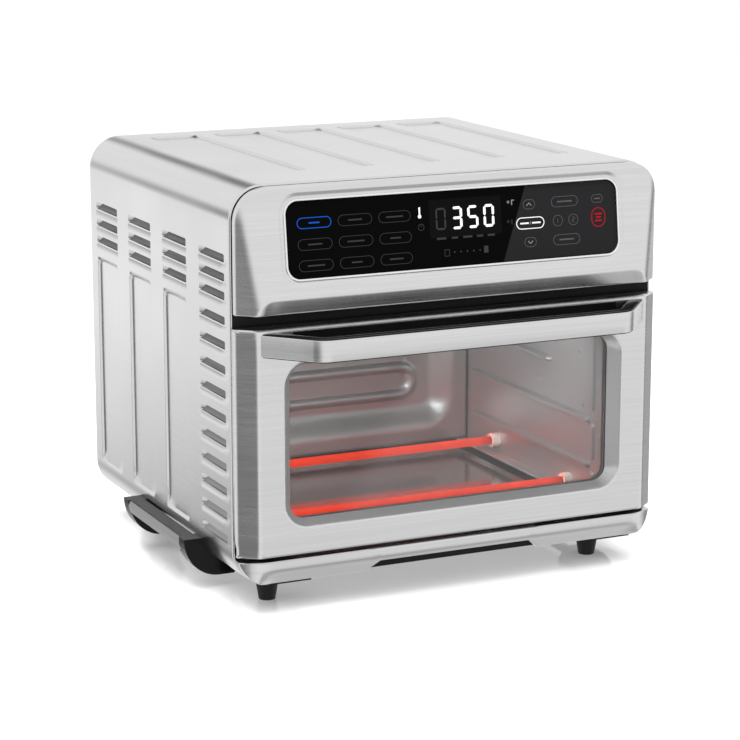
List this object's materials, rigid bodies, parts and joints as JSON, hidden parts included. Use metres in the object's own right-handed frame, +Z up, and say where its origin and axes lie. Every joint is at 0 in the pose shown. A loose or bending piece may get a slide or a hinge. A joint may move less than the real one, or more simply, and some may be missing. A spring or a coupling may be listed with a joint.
{
  "type": "toaster oven",
  "caption": "Countertop toaster oven with a drop-down glass door, leaning touch panel, glowing heater tubes, convection fan and pull-out crumb tray.",
  "frame": {"origin": "centre of the whole object on the table, under the feet", "axes": "+X to the right across the front, -Y out of the front, +Z up"},
  "size_m": [0.444, 0.435, 0.373],
  "materials": {
    "shell_steel": "brushed front to back, satin",
    "panel_steel": "brushed side to side, satin",
    "door_steel": "brushed side to side, satin",
    "handle_steel": "fine brushed, satin",
    "rear_steel": "plain zinc-coated sheet",
    "galvanised_steel": "plain zinc-coated sheet",
    "cavity_steel": "dull drawn sheet",
    "tray_steel": "dull sheet",
    "motor_steel": "satin",
    "fan_aluminium": "pressed sheet",
    "shaft_steel": "ground",
    "screw_steel": "zinc plated",
    "frame_enamel": "black heat-resistant paint",
    "handle_black": "fine moulded",
    "foot_black": "moulded, slightly soft",
    "seal_rubber": "matt silicone",
    "board_plastic": "moulded",
    "terminal_plastic": "moulded",
    "circuit_board": "lacquered laminate",
    "ceramic": "unglazed",
    "display_glass": "black polished",
    "window_glass": "clear, lightly tinted",
    "lens_glass": "frosted",
    "bulb_glass": "clear",
    "glowing_tube": "quartz tube, glowing",
    "dark_tube": "oxidised sheath"
  },
  "bodies": {
    "root": {"outer_shell": "shell_steel", "base_plate": "galvanised_steel", "rear_panel": "rear_steel", "front_frame": "frame_enamel", "control_bezel": "panel_steel", "display_glass": "display_glass", "display_module": "board_plastic", "control_board": "circuit_board", "power_board": "circuit_board", "heat_shield": "galvanised_steel", "cavity_liner": "cavity_steel", "cavity_back": "cavity_steel", "ceiling_grille": "cavity_steel", "fan_housing": "galvanised_steel", "motor_body": "motor_steel", "motor_bracket": "galvanised_steel", "heater_lower_front": "glowing_tube", "heater_lower_rear": "glowing_tube", "heater_upper_front": "dark_tube", "heater_upper_rear": "dark_tube", "heater_caps": "ceramic", "heat_probe": "shaft_steel", "thermal_cutout": "board_plastic", "lamp_holder": "motor_steel", "lamp_bulb": "bulb_glass", "lamp_lens": "lens_glass", "hinge_bracket_left": "galvanised_steel", "hinge_bracket_right": "galvanised_steel", "hinge_pins": "shaft_steel", "tray_runners": "galvanised_steel", "foot_front_left": "foot_black", "foot_front_right": "foot_black", "foot_rear_left": "foot_black", "foot_rear_right": "foot_black", "carry_handle_left": "handle_black", "carry_handle_right": "handle_black", "carry_trim_left": "handle_steel", "carry_trim_right": "handle_steel", "rear_spacers": "foot_black", "cord_gland": "foot_black", "terminal_block": "terminal_plastic", "door_switch": "board_plastic", "rear_screws": "screw_steel", "panel_screws": "screw_steel"},
    "door": {"door_skin": "door_steel", "door_inner_panel": "cavity_steel", "door_glass": "window_glass", "window_seal": "seal_rubber", "handle_core": "handle_black", "handle_base": "handle_black", "handle_band": "handle_steel", "handle_screws": "screw_steel", "hinge_arm_left": "galvanised_steel", "hinge_arm_right": "galvanised_steel"},
    "tray": {"crumb_tray": "tray_steel", "crumb_tray_front": "door_steel", "crumb_tray_grip": "handle_black"},
    "rotor": {"convection_fan": "fan_aluminium", "motor_shaft": "shaft_steel", "cooling_fan": "board_plastic"}
  },
  "joints": [
    {"name": "door_hinge", "type": "hinge", "parent": "root", "child": "door", "pos_m": [0, -0.1645, 0.061], "axis": [1, 0, 0], "range_deg": [0, 90]},
    {"name": "crumb_tray_slide", "type": "slide", "parent": "root", "child": "tray", "axis": [0, -1, 0], "range_m": [0, 0.145]},
    {"name": "fan_spin", "type": "hinge", "parent": "root", "child": "rotor", "pos_m": [0, -0.0075, 0.26], "axis": [0, 0, 1], "continuous": true}
  ]
}
